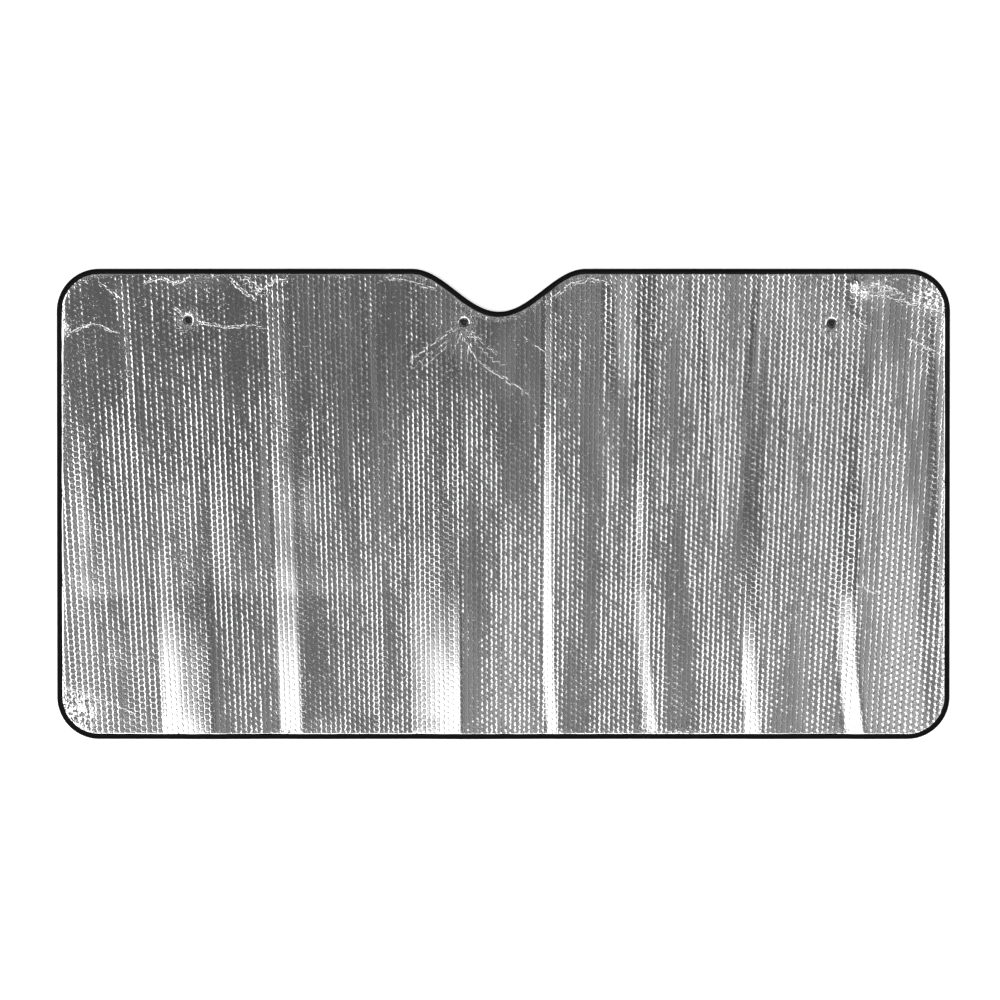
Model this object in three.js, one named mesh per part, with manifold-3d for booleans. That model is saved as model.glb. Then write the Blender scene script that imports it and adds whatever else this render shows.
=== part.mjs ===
// A windscreen sunshade, lying flat with its cabin side up: a sheet of bubble foil with a notch for the
// mirror, the tape that binds its edge, and three suction cups under its top edge.
// Millimetres, +Z up, +X along the length, +Y towards the notch. The origin is on the floor, under the
// middle of the sheet.
import * as THREE from "three";
import { mergeVertices } from "three/addons/utils/BufferGeometryUtils.js";
import Module from "manifold-3d";

const wasm = await Module();
wasm.setup();

// Outline of the sheet, over the binding
const shadeLength = 1500;
const shadeHeight = 790;
const cornerRadius = 71;
const notchCentreX = -7.5;
const notchHalfWidth = 146;
const notchDepth = 72;

// Bubble foil: the thickness between the bubble rows, and the rows that stand up from it
const foilThickness = 3.2;
const ridgeHeight = 1.3;
const ridgePitch = 8.1;
const ridgeSpread = 0.08; // how much further apart the rows stand towards the ends
const ridgeFan = 0.07; // how much closer together they run at the bottom edge than at the top

// Pleats left by folding: each is a steep flank that rises to a crest, then a long gentle fall. The
// flank is steepest at its foot where lean is 0, and at its crest where lean is 1. A crest stands
// highest a third of the way up the sheet, at its belly.
const pleats = [
  { crestX: -455, flank: 112, lean: 0.25, topRise: 0.6, bellyRise: 7.5, bottomRise: 3 },
  { crestX: -338, flank: 46, lean: 0.4, topRise: 2.2, bellyRise: 4.2, bottomRise: 2.6 },
  { crestX: -70, flank: 88, lean: 0.95, topRise: 0.5, bellyRise: 7.5, bottomRise: 3.5 },
  { crestX: 80, flank: 36, lean: 0.6, topRise: 0.8, bellyRise: 5, bottomRise: 3.5 },
  { crestX: 244, flank: 40, lean: 0.8, topRise: 3, bellyRise: 3.5, bottomRise: 2 },
  { crestX: 434, flank: 46, lean: 0.3, topRise: 1.6, bellyRise: 4.5, bottomRise: 2.5 },
  { crestX: 608, flank: 52, lean: 0.8, topRise: 3.6, bellyRise: 5.5, bottomRise: 3 },
];
const bellyFromBottom = 245;
const endFall = 110; // how far the last crest takes to fall

// Edge binding: a tape folded over the pinched edge of the sheet
const bindingWidth = 9;
const tapeThickness = 0.8;
const pinchedThickness = 1.6;
const pinchedRoot = 3; // how far the pinched edge is carried into the full thickness
const bindingRounding = 1.2;

// Suction cups
const cupRadius = 25;
const cupWall = 1.6;
const cupHeight = 10;
const rimLand = 2.2;
const shoulderRadius = 7;
const neckRadius = 3.8;
const headRadius = 6.3;
const headHeight = 3;
const headEdge = 1;
const domeHollow = 7.4;

// Punched holes, and the ring pressed into the foil around each
const pressedThickness = 1.5;
const pressedRadius = 9.6;
const seatFlat = 18; // the sheet lies level this far around a hole
const seatReach = 90; // and follows its own slope and pleats beyond this distance

// Places of the suction cups, measured from the ends, the top edge and the middle of the notch
const leftCupFromEnd = 220;
const rightCupFromEnd = 199;
const centreCupFromNotch = 59;
const leftCupDrop = 87;
const centreCupDrop = 91;
const rightCupDrop = 92;

// Clearances, and the fineness of the faceted shapes
const seatGap = 0.3;
const neckGap = 0.4;
const stationPitch = 20;
const sideStationPitch = 45;
const undersidePitch = 15;
const arcSteps = 8;
const notchSteps = 26;
const roundSteps = 20;
const overhang = 6; // how far the cutting shapes reach past what they cut

const halfLength = shadeLength / 2;
const halfHeight = shadeHeight / 2;
const tapeInside = tapeThickness + seatGap;
const fullInset = bindingWidth + seatGap;
const edgeReach = fullInset + pinchedRoot;
const cupSeatHeight = cupHeight + seatGap;
const tallest = 2 * (cupSeatHeight + foilThickness + ridgeHeight);
const bellyY = -halfHeight + bellyFromBottom;

const cups = [
  {
    name: "suction_cup_left",
    x: -halfLength + leftCupFromEnd,
    y: halfHeight - leftCupDrop,
  },
  {
    name: "suction_cup_centre",
    x: notchCentreX - centreCupFromNotch,
    y: halfHeight - centreCupDrop,
  },
  {
    name: "suction_cup_right",
    x: halfLength - rightCupFromEnd,
    y: halfHeight - rightCupDrop,
  },
];
const cupRowY = cups.reduce((sum, cup) => sum + cup.y, 0) / cups.length;

// The rows and pleats run straight from each of these cross lines to the next, bottom edge to top.
const crossLines = [
  -halfHeight - overhang,
  bellyY,
  cupRowY - seatReach,
  cupRowY - seatFlat,
  cupRowY + seatFlat,
  halfHeight + overhang,
];

const mix = THREE.MathUtils.lerp;
const easeBetween = (value, low, high) => THREE.MathUtils.smoothstep(value, low, high);

// How far apart the rows and pleats stand at this height, next to halfway up the sheet.
const fanScale = (y) => 1 + (ridgeFan * y) / shadeHeight;

function crestRise({ topRise, bellyRise, bottomRise }, y) {
  if (y > bellyY) return mix(bellyRise, topRise, (y - bellyY) / (halfHeight - bellyY));
  return mix(bottomRise, bellyRise, (y + halfHeight) / bellyFromBottom);
}

const fallShare = (x, crestX, endX) => Math.max(0, (endX - x) / (endX - crestX));

// Height of the pleats alone, with x measured along the line halfway up the sheet.
function pleatHeight(x, y) {
  let fallsFrom = null;
  for (const pleat of pleats) {
    const footX = pleat.crestX - pleat.flank;
    if (x < footX) return fallsFrom ? crestRise(fallsFrom, y) * fallShare(x, fallsFrom.crestX, footX) : 0;
    if (x < pleat.crestX) {
      const share = (x - footX) / pleat.flank;
      return crestRise(pleat, y) * share * (1 + (2 * pleat.lean - 1) * (share - 1));
    }
    fallsFrom = pleat;
  }
  return crestRise(fallsFrom, y) * fallShare(x, fallsFrom.crestX, fallsFrom.crestX + endFall);
}

// Height of the sheet's underside above the floor, before it is straightened between the cross lines.
// The pleats keep it straight from its bottom edge, on the floor, up to the suction cups.
function looseHeight(x, y) {
  const slope = cupSeatHeight / (cupRowY + halfHeight);
  const pleated = slope * (y + halfHeight) + pleatHeight(x / fanScale(y), y);
  let free = 1;
  for (const cup of cups) {
    free *= easeBetween(Math.hypot(x - cup.x, y - cup.y), seatFlat, seatReach);
  }
  return mix(cupSeatHeight, pleated, free);
}

function sheetHeight(x, y) {
  const last = crossLines.length - 1;
  let line = 1;
  while (line < last && y > crossLines[line]) line += 1;
  const row = x / fanScale(y);
  const [low, high] = [crossLines[line - 1], crossLines[line]];
  const lowHeight = looseHeight(row * fanScale(low), low);
  const highHeight = looseHeight(row * fanScale(high), high);
  return mix(lowHeight, highHeight, (y - low) / (high - low));
}

function solidFrom(geometry) {
  const bare = geometry.clone();
  bare.deleteAttribute("normal");
  bare.deleteAttribute("uv");
  const merged = mergeVertices(bare, 1e-4);
  const mesh = new wasm.Mesh({
    numProp: 3,
    vertProperties: merged.attributes.position.array,
    triVerts: new Uint32Array(merged.index.array),
  });
  return new wasm.Manifold(mesh);
}

function geometryFrom(solid) {
  const mesh = solid.getMesh();
  const geometry = new THREE.BufferGeometry();
  geometry.setAttribute("position", new THREE.BufferAttribute(mesh.vertProperties, 3));
  geometry.setIndex(new THREE.BufferAttribute(mesh.triVerts, 1));
  geometry.computeVertexNormals();
  return geometry;
}

// A block whose grid of vertices is moved to where place(column, row, isTop) puts each one.
function shapedBlock(columns, rows, place) {
  const block = new THREE.BoxGeometry(columns, rows, 2, columns, rows, 1);
  const points = block.attributes.position;
  for (let i = 0; i < points.count; i += 1) {
    const column = Math.round(points.getX(i) + columns / 2);
    const row = Math.round(points.getY(i) + rows / 2);
    points.setXYZ(i, ...place(column, row, points.getZ(i) > 0));
  }
  return solidFrom(block);
}

function notchDrop(x) {
  const across = (x - notchCentreX) / notchHalfWidth;
  return Math.abs(across) < 1 ? notchDepth * Math.cos((across * Math.PI) / 2) ** 2 : 0;
}

function straightStations(fromX, fromY, toX, toY, pitch) {
  const length = Math.hypot(toX - fromX, toY - fromY);
  const count = Math.max(1, Math.ceil(length / pitch));
  const outX = (toY - fromY) / length;
  const outY = (fromX - toX) / length;
  return Array.from({ length: count }, (_, i) => ({
    x: mix(fromX, toX, i / count),
    y: mix(fromY, toY, i / count),
    outX,
    outY,
  }));
}

function cornerStations(centreX, centreY, startAngle) {
  return Array.from({ length: arcSteps }, (_, i) => {
    const angle = startAngle + ((Math.PI / 2) * i) / arcSteps;
    const outX = Math.cos(angle);
    const outY = Math.sin(angle);
    return { x: centreX + cornerRadius * outX, y: centreY + cornerRadius * outY, outX, outY };
  });
}

function notchStations() {
  return Array.from({ length: notchSteps }, (_, i) => {
    const across = 1 - (2 * i) / notchSteps;
    const slope = ((notchDepth * Math.PI) / (2 * notchHalfWidth)) * Math.sin(across * Math.PI);
    const length = Math.hypot(slope, 1);
    const x = notchCentreX + across * notchHalfWidth;
    return { x, y: halfHeight - notchDrop(x), outX: -slope / length, outY: 1 / length };
  });
}

// Points round the outer edge, counter-clockwise from above, each with its outward direction.
function outlineStations() {
  const cornerX = halfLength - cornerRadius;
  const cornerY = halfHeight - cornerRadius;
  const notchLeft = notchCentreX - notchHalfWidth;
  const notchRight = notchCentreX + notchHalfWidth;
  return [
    ...straightStations(-cornerX, -halfHeight, cornerX, -halfHeight, stationPitch),
    ...cornerStations(cornerX, -cornerY, -Math.PI / 2),
    ...straightStations(halfLength, -cornerY, halfLength, cornerY, sideStationPitch),
    ...cornerStations(cornerX, cornerY, 0),
    ...straightStations(cornerX, halfHeight, notchRight, halfHeight, stationPitch),
    ...notchStations(),
    ...straightStations(notchLeft, halfHeight, -cornerX, halfHeight, stationPitch),
    ...cornerStations(-cornerX, cornerY, Math.PI / 2),
    ...straightStations(-halfLength, cornerY, -halfLength, -cornerY, sideStationPitch),
    ...cornerStations(-cornerX, -cornerY, Math.PI),
  ];
}

const insetFrom = (station, inset) => [station.x - inset * station.outX, station.y - inset * station.outY];

// A closed ring that carries a section round the outline. Each section point is its distance in from
// the outer edge and its height over the sheet's underside, which runs straight across the ring.
function edgeRing(stations, section) {
  const across = stations.length;
  const round = section.length;
  const skin = new THREE.PlaneGeometry(across, round, across, round);
  const points = skin.attributes.position;
  for (let i = 0; i < points.count; i += 1) {
    const station = stations[Math.round(points.getX(i) + across / 2) % across];
    const [inset, up] = section[Math.round(points.getY(i) + round / 2) % round];
    const outer = sheetHeight(...insetFrom(station, 0));
    const inner = sheetHeight(...insetFrom(station, edgeReach));
    points.setXYZ(i, ...insetFrom(station, inset), mix(outer, inner, inset / edgeReach) + up);
  }
  return solidFrom(skin);
}

function uprightPrism(stations, inset) {
  const shape = new THREE.Shape(stations.map((station) => new THREE.Vector2(...insetFrom(station, inset))));
  const prism = new THREE.ExtrudeGeometry(shape, { depth: tallest + 4 * overhang, bevelEnabled: false });
  return solidFrom(prism.translate(0, 0, -2 * overhang));
}

// A round solid about a vertical axis, from its profile of [radius, height] points.
function turned(profile, centreX, centreY) {
  const points = profile.map(([radius, height]) => new THREE.Vector2(radius, height));
  return new THREE.LatheGeometry(points, roundSteps).rotateX(Math.PI / 2).translate(centreX, centreY, 0);
}

// The face with the bubble rows: every other column of vertices is the crest of a row.
function ridgedBlock() {
  const reach = (halfLength + overhang) / fanScale(-halfHeight);
  const rowsToEnd = Math.ceil(reach / (ridgePitch * (1 + ridgeSpread)));
  return shapedBlock(4 * rowsToEnd, crossLines.length - 1, (column, row, isTop) => {
    const y = crossLines[row];
    const share = column / (2 * rowsToEnd) - 1;
    const x = rowsToEnd * ridgePitch * share * (1 + ridgeSpread * share * share) * fanScale(y);
    const crest = column % 2 ? ridgeHeight : 0;
    return [x, y, isTop ? sheetHeight(x, y) + foilThickness + crest : -overhang];
  });
}

// The plain back face, under a block that reaches above the sheet.
function undersideBlock() {
  const reach = (halfLength + overhang) / fanScale(-halfHeight);
  const columns = Math.ceil((2 * reach) / undersidePitch);
  return shapedBlock(columns, crossLines.length - 1, (column, row, isTop) => {
    const y = crossLines[row];
    const x = mix(-reach, reach, column / columns) * fanScale(y);
    return [x, y, isTop ? tallest + overhang : sheetHeight(x, y)];
  });
}

// What is taken out of the sheet for one suction cup: the hole for its neck and the pressed ring.
function holeCutter({ x, y }) {
  const floor = cupSeatHeight + pressedThickness;
  const mouth = cupSeatHeight + foilThickness + ridgeHeight;
  const profile = [
    [0, -overhang],
    [neckRadius + neckGap, -overhang],
    [neckRadius + neckGap, floor],
    [headRadius + 2 * seatGap, floor],
    [pressedRadius, mouth],
    [pressedRadius, mouth + overhang],
    [0, mouth + overhang],
  ];
  return solidFrom(turned(profile, x, y));
}

function bubbleFoilPanel(stations) {
  const pinchedLow = tapeInside;
  const pinchedHigh = tapeInside + pinchedThickness;
  const pinchedEdge = edgeRing(stations, [
    [tapeInside, pinchedLow],
    [tapeInside, pinchedHigh],
    [edgeReach, pinchedHigh],
    [edgeReach, pinchedLow],
  ]);
  const full = ridgedBlock().intersect(undersideBlock()).intersect(uprightPrism(stations, fullInset));
  let sheet = full.add(pinchedEdge);
  for (const cup of cups) sheet = sheet.subtract(holeCutter(cup));
  return geometryFrom(sheet);
}

function edgeBinding(stations) {
  const top = 2 * tapeInside + pinchedThickness;
  const innerTop = top - tapeThickness;
  return geometryFrom(
    edgeRing(stations, [
      [bindingWidth, 0],
      [bindingRounding, 0],
      [0, bindingRounding],
      [0, top - bindingRounding],
      [bindingRounding, top],
      [bindingWidth, top],
      [bindingWidth, innerTop],
      [tapeThickness, innerTop],
      [tapeThickness, tapeThickness],
      [bindingWidth, tapeThickness],
    ]),
  );
}

function suctionCup({ x, y }) {
  const headLow = cupSeatHeight + pressedThickness + seatGap;
  const headTop = headLow + headHeight;
  const skirt = cupRadius - shoulderRadius;
  const outside = [
    [cupRadius, 0],
    [cupRadius, cupWall / 2],
    [cupRadius - skirt / 3, cupHeight / 3],
    [cupRadius - (2 * skirt) / 3, (2 * cupHeight) / 3],
    [shoulderRadius, cupHeight],
    [neckRadius, cupHeight],
    [neckRadius, headLow],
    [headRadius, headLow],
    [headRadius, headTop - headEdge],
    [headRadius - headEdge, headTop],
    [0, headTop],
  ];
  const inside = [
    [0, domeHollow],
    [shoulderRadius, domeHollow - cupWall / 2],
    [cupRadius - rimLand, 0],
  ];
  return turned([...inside, ...outside], x, y);
}

const bubbleFoil = () => new THREE.MeshStandardMaterial({ color: 0xb4b3b0, roughness: 0.22, metalness: 1 });
const wovenTape = () => new THREE.MeshStandardMaterial({ color: 0x141313, roughness: 0.85, metalness: 0 });
const smokedVinyl = () =>
  new THREE.MeshStandardMaterial({
    color: 0x151517,
    roughness: 0.15,
    metalness: 0,
    transparent: true,
    opacity: 0.85,
  });

function namedMesh(name, geometry, material) {
  const mesh = new THREE.Mesh(geometry, material);
  mesh.name = name;
  return mesh;
}

const stations = outlineStations();
const sunshade = new THREE.Group();
sunshade.add(namedMesh("bubble_foil_panel", bubbleFoilPanel(stations), bubbleFoil()));
sunshade.add(namedMesh("edge_binding", edgeBinding(stations), wovenTape()));
for (const cup of cups) sunshade.add(namedMesh(cup.name, suctionCup(cup), smokedVinyl()));

export default sunshade;
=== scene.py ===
import math

import bmesh
import bpy
import numpy as np
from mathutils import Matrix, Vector


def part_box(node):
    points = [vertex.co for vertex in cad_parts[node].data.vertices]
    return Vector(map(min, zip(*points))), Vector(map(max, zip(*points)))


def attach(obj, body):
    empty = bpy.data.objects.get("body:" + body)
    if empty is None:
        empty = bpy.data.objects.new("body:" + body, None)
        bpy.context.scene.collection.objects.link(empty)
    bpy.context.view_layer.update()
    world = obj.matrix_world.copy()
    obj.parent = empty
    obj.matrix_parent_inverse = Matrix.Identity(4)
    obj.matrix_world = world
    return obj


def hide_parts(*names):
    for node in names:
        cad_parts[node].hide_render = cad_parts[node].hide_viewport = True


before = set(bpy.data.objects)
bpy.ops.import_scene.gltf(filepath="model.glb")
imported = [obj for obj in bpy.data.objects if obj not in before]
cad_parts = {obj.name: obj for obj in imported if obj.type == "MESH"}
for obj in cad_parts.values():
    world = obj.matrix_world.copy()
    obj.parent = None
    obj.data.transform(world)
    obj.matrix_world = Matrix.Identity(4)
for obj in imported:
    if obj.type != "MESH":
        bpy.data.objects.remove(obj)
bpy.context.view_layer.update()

# A windscreen sunshade lying flat, cabin side up: bubble film between two aluminium foils, a black
# tape folded over its edge, and three suction cups whose heads come up through punched holes.
mm = 0.001


def toLinear(hexColour):
    channels = [int(hexColour[i:i + 2], 16) / 255 for i in (1, 3, 5)]
    return tuple(c / 12.92 if c <= 0.04045 else ((c + 0.055) / 1.055) ** 2.4 for c in channels)


def addNode(tree, kind, inputs=(), **settings):
    # inputs: sockets or plain values, in the node's own order or by name; gives back its outputs
    node = tree.nodes.new("ShaderNode" + kind)
    for name, value in settings.items():
        setattr(node, name, value)
    for name, value in inputs.items() if isinstance(inputs, dict) else enumerate(inputs):
        if isinstance(value, bpy.types.NodeSocket):
            tree.links.new(value, node.inputs[name])
        else:
            node.inputs[name].default_value = value
    return node.outputs


def newMaterial(name, colour, **surface):
    material = bpy.data.materials.new(name)
    material.use_nodes = True
    shader = material.node_tree.nodes["Principled BSDF"]
    shader.inputs["Base Color"].default_value = (*toLinear(colour), 1)
    for socket, value in surface.items():
        shader.inputs[socket.replace("_", " ")].default_value = value
    return material, material.node_tree, shader


def ease(value, low, high):
    t = np.clip((value - low) / (high - low), 0, 1)
    return t * t * (3 - 2 * t)


def mix(a, b, share):
    return a + (b - a) * share


def meshObject(name, points, faces, material, smooth=True):
    mesh = bpy.data.meshes.new(name)
    mesh.from_pydata([tuple(p) for p in points], [], [tuple(f) for f in faces])
    mesh.update()
    if smooth:
        mesh.polygons.foreach_set("use_smooth", [True] * len(mesh.polygons))
    mesh.materials.append(material)
    piece = bpy.data.objects.new(name, mesh)
    bpy.context.scene.collection.objects.link(piece)
    return piece


def storeValues(piece, name, values):
    # one number or one vector for each point of the mesh, for its material to read
    kind, field = ("FLOAT", "value") if values.ndim == 1 else ("FLOAT_VECTOR", "vector")
    layer = piece.data.attributes.new(name, kind, "POINT")
    layer.data.foreach_set(field, values.astype(np.float32).ravel())


# Shape of the sheet, in millimetres
bindingLow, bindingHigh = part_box("edge_binding")
sheet = {
    "length": (bindingHigh.x - bindingLow.x) / mm,
    "height": (bindingHigh.y - bindingLow.y) / mm,
    "cornerRadius": 71,
    "notchCentre": -7.5,
    "notchHalfWidth": 146,
    "notchDepth": 72,
    "bubbleThickness": 3.7,
    "ridgePitch": 8.1,
    "ridgeSpread": 0.08,  # how much further apart the rows stand towards the ends
    "ridgeFan": 0.07,  # how much closer together they run at the bottom edge than at the top
    "bubblePitch": 9.7,  # from each bubble to its neighbours
    "pinchedLow": 1.1,  # the squeezed edge inside the tape
    "pinchedHigh": 2.7,
    "frontSwell": (6, 9.8),  # how far in from the edge the sheet swells up to its full thickness
    "backSwell": (8, 18),
    "edgeReach": 12.3,  # the edge runs straight across this far in
    "bindingWidth": 9,
}
halfLength = sheet["length"] / 2
halfHeight = sheet["height"] / 2

pleats = {
    "bellyY": -150,  # above it the crests fall away quickly, below it they run on to the edge
    "endFall": 110,
    "fallPower": 3,  # how quickly they fall away above the belly
    "swayPower": 1.5,  # how late they lean to the right below it
    # crest, width of the steep flank on its left, where the flank is steepest (0 foot, 1 crest),
    # how far the crest leans right at the bottom edge, its height at the top edge, at the belly
    # and at the bottom edge
    "crests": [
        (-504, 86, 0.3, 0, 0.6, 2.7, 8.4),
        (-350, 40, 0.5, 0, 2.5, 2.6, 4.4),
        (-73, 86, 0.7, 0, 1.5, 6.0, 10.8),
        (83, 18, 0.6, 10, 2.2, 3.3, 3.2),
        (246, 26, 0.7, 24, 1.7, 2.3, 2.3),
        (434, 30, 0.4, 16, 0.1, 3.0, 5.0),
        (599, 34, 0.6, 30, 0.2, 4.6, 5.8),
    ],
}

cups = {
    "places": {
        "suction_cup_left": (-530, 308),
        "suction_cup_centre": (-66.5, 304),
        "suction_cup_right": (551, 303),
    },
    "seatHeight": 10.3,
    "seatFlat": 18,
    "seatReach": 90,
    "holeRadius": 4.2,
    "slitTurns": {"suction_cup_left": 155, "suction_cup_centre": 150, "suction_cup_right": 25},
    "slitReach": 11,
    "slitWidth": 1.2,
    "pressedRadius": 9.6,
    "pressedThickness": 1.5,
    "pressedSlope": 3,  # how wide the slope is at the rim of the pressed ring
    "calm": (10, 60),  # how far from a cup ripples and buckles start, and where they are full
}
cupRowY = sum(place[1] for place in cups["places"].values()) / 3


def fanScale(y):
    return 1 + sheet["ridgeFan"] * y / sheet["height"]


def pleatHeight(x, y):
    # each pleat rises steeply from its foot to its crest, then falls gently to the next foot
    up = np.clip((y - pleats["bellyY"]) / (halfHeight - pleats["bellyY"]), 0, 1)
    down = np.clip((pleats["bellyY"] - y) / (halfHeight + pleats["bellyY"]), 0, 1)
    height = np.zeros_like(x)
    last = None
    for crest, flank, lean, sway, top, belly, bottom in pleats["crests"]:
        crest = crest + sway * down ** pleats["swayPower"]
        foot = crest - flank
        if last is not None:
            falling = lastRise * (foot - x) / (foot - last)
            height = np.where((x >= last) & (x < foot), falling, height)
        rise = top + (belly - top) * (1 - up) ** pleats["fallPower"] + (bottom - belly) * down
        share = (x - foot) / flank
        flankHeight = rise * share * (1 + (2 * lean - 1) * (share - 1))
        height = np.where((x >= foot) & (x < crest), flankHeight, height)
        last, lastRise = crest, rise
    fall = np.clip(1 - (x - last) / pleats["endFall"], 0, 1)
    return np.where(x >= last, lastRise * fall, height)


def nearCups(x, y, near, far):
    # 0 beside a cup, 1 away from all of them
    free = np.ones_like(x)
    for cx, cy in cups["places"].values():
        free = free * ease(np.hypot(x - cx, y - cy), near, far)
    return free


def restHeight(x, y):
    # underside of the sheet over the floor: straight from its bottom edge up to the cups
    level = cups["seatHeight"] * (y + halfHeight) / (cupRowY + halfHeight)
    pleated = level + pleatHeight(x / fanScale(y), y)
    return mix(cups["seatHeight"], pleated, nearCups(x, y, cups["seatFlat"], cups["seatReach"]))


def notchDrop(x):
    across = (x - sheet["notchCentre"]) / sheet["notchHalfWidth"]
    drop = sheet["notchDepth"] * np.cos(across * np.pi / 2) ** 2
    return np.where(np.abs(across) < 1, drop, 0)


def notchSlope(x):
    across = (x - sheet["notchCentre"]) / sheet["notchHalfWidth"]
    slope = sheet["notchDepth"] * np.pi / 2 / sheet["notchHalfWidth"] * np.sin(across * np.pi)
    return np.where(np.abs(across) < 1, slope, 0)


def edgeDistance(x, y):
    # how far a point lies in from the outer edge of the tape
    radius = sheet["cornerRadius"]
    overX = np.abs(x) - (halfLength - radius)
    overY = np.abs(y) - (halfHeight - radius)
    corner = np.hypot(np.maximum(overX, 0), np.maximum(overY, 0))
    plain = radius - np.where((overX > 0) & (overY > 0), corner, np.maximum(overX, overY))
    below = (halfHeight - notchDrop(x) - y) / np.sqrt(1 + notchSlope(x) ** 2)
    return np.minimum(plain, below)


def bubbleColumn(x, y):
    # which row of bubbles runs through a point: whole numbers are the crests
    across = x / fanScale(y) / sheet["ridgePitch"]
    ends = halfLength / sheet["ridgePitch"] / (1 + sheet["ridgeSpread"])
    column = across.copy()
    # the spread is undone step by step, and five rounds are plenty
    for _ in range(5):
        share = column / ends
        error = column * (1 + sheet["ridgeSpread"] * share ** 2) - across
        column = column - error / (1 + 3 * sheet["ridgeSpread"] * share ** 2)
    return column


def columnX(column, y):
    ends = halfLength / sheet["ridgePitch"] / (1 + sheet["ridgeSpread"])
    spread = 1 + sheet["ridgeSpread"] * (column / ends) ** 2
    return column * sheet["ridgePitch"] * spread * fanScale(y)


# Small folds left from packing: the two ends of each, the width of its steep left side, its height
ripples = [
    {"ends": [(-636, 394), (-596, -95)], "width": 20, "height": 0.9},
    {"ends": [(-233, 378), (-221, 125)], "width": 6, "height": 0.4},
    {"ends": [(182, 378), (193, 175)], "width": 18, "height": 1.3},
    {"ends": [(230, 345), (232, -100)], "width": 6, "height": 0.4},
    {"ends": [(331, 343), (368, -95)], "width": 7, "height": 0.5},
    {"ends": [(432, 378), (406, 142)], "width": 8, "height": 0.5},
    {"ends": [(594, 400), (599, 322)], "width": 22, "height": 4.0},
    {"ends": [(722, 350), (735, -300)], "width": 9, "height": 0.6},
]
rippleShape = {
    "rightSide": 2.2,  # how many times as wide the right side is as the left
    "sharpness": 1.3,
    "start": (-30, 40),  # from where to where a fold grows, counted from its first end
    "end": (-90, 30),  # and dies out, counted from its second end
}

# A fold across the left part of the sheet: the sheet bulges above it and lies flat below it
crossFold = {
    "y": -147,
    "wobble": 9,
    "waves": [(1, 52, 50, 51), (0.5, 17, 50, 52)],  # noise, as mixedNoise takes it
    "bulge": 2.0,
    "riseLength": 150,
    "fallEnd": 430,
    "rightEnd": (-235, -165),
    # pleats hold the bulge down: where, how far to both sides, and how much of it is left
    "heldDown": [(-545, 45, 95, 0), (-365, 20, 50, 0.3)],
}

# Slow buckles of the whole sheet: height, width of the lumps in x and in y, seed of the noise
buckles = [(0.1, 17, 150, 7), (0.35, 55, 210, 8), (0.35, 85, 85, 9)]

# How far in from the edge each kind of looseness starts, and where it is full
growth = {"ripples": (8, 24), "bulge": (8, 70), "buckles": (8, 40)}


def smoothNoise(x, y, wideX, wideY, seed):
    # a soft random surface between -1 and 1, with lumps of the given size
    rng = np.random.default_rng(seed)
    lattice = rng.uniform(-1, 1, (int(1800 / wideX) + 4, int(1100 / wideY) + 4))
    px, py = (x + 900) / wideX, (y + 550) / wideY
    ix, iy = np.floor(px).astype(int), np.floor(py).astype(int)
    fx, fy = ease(px - ix, 0, 1), ease(py - iy, 0, 1)
    low = mix(lattice[ix, iy], lattice[ix + 1, iy], fx)
    high = mix(lattice[ix, iy + 1], lattice[ix + 1, iy + 1], fx)
    return mix(low, high, fy)


def mixedNoise(x, y, layers):
    # layers: height, width of the lumps in x and in y, seed
    return sum(height * smoothNoise(x, y, *lumps) for height, *lumps in layers)


def alongLine(x, y, start, end):
    # how far each point lies along a line and to its left, and the length of the line
    length = math.dist(start, end)
    alongX, alongY = (end[0] - start[0]) / length, (end[1] - start[1]) / length
    along = (x - start[0]) * alongX + (y - start[1]) * alongY
    off = -(x - start[0]) * alongY + (y - start[1]) * alongX
    return along, off, length


def rippleHeight(x, y):
    height = np.zeros_like(x)
    for fold in ripples:
        along, off, length = alongLine(x, y, *fold["ends"])
        side = np.where(off < 0, fold["width"], fold["width"] * rippleShape["rightSide"])
        body = np.clip(1 - np.abs(off) / side, 0, 1) ** rippleShape["sharpness"]
        ending = ease(along - length, *rippleShape["end"])
        reach = ease(along, *rippleShape["start"]) * (1 - ending)
        height = np.maximum(height, fold["height"] * body * reach)
    return height


def crossFoldHeight(x, y):
    line = crossFold["y"] + crossFold["wobble"] * mixedNoise(x, 0 * y, crossFold["waves"])
    above = y - line
    rising = np.clip(above / crossFold["riseLength"], 0, 1)
    falling = 1 - ease(above, crossFold["riseLength"], crossFold["fallEnd"])
    across = 1 - ease(x, *crossFold["rightEnd"])
    for pleatX, near, far, left in crossFold["heldDown"]:
        across = across * mix(left, 1, ease(np.abs(x - pleatX), near, far))
    return crossFold["bulge"] * rising * (2 - rising) * falling * across


def looseness(x, y):
    # ripples and buckles die out at the tape and at the cups
    inside = edgeDistance(x, y)
    height = ease(inside, *growth["ripples"]) * rippleHeight(x, y)
    height = height + ease(inside, *growth["bulge"]) * crossFoldHeight(x, y)
    height = height + ease(inside, *growth["buckles"]) * mixedNoise(x, y, buckles)
    return nearCups(x, y, *cups["calm"]) * height


def foilHeight(x, y):
    # cabin side of the sheet
    swollen = ease(edgeDistance(x, y), *sheet["frontSwell"])
    thickness = mix(sheet["pinchedHigh"], sheet["bubbleThickness"], swollen)
    radius = cups["pressedRadius"]
    for cx, cy in cups["places"].values():
        ring = ease(np.hypot(x - cx, y - cy), radius - cups["pressedSlope"], radius)
        thickness = mix(np.minimum(thickness, cups["pressedThickness"]), thickness, ring)
    return restHeight(x, y) + thickness + looseness(x, y)


def backHeight(x, y):
    swollen = ease(edgeDistance(x, y), *sheet["backSwell"])
    return restHeight(x, y) + mix(sheet["pinchedLow"], 0, swollen)


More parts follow.
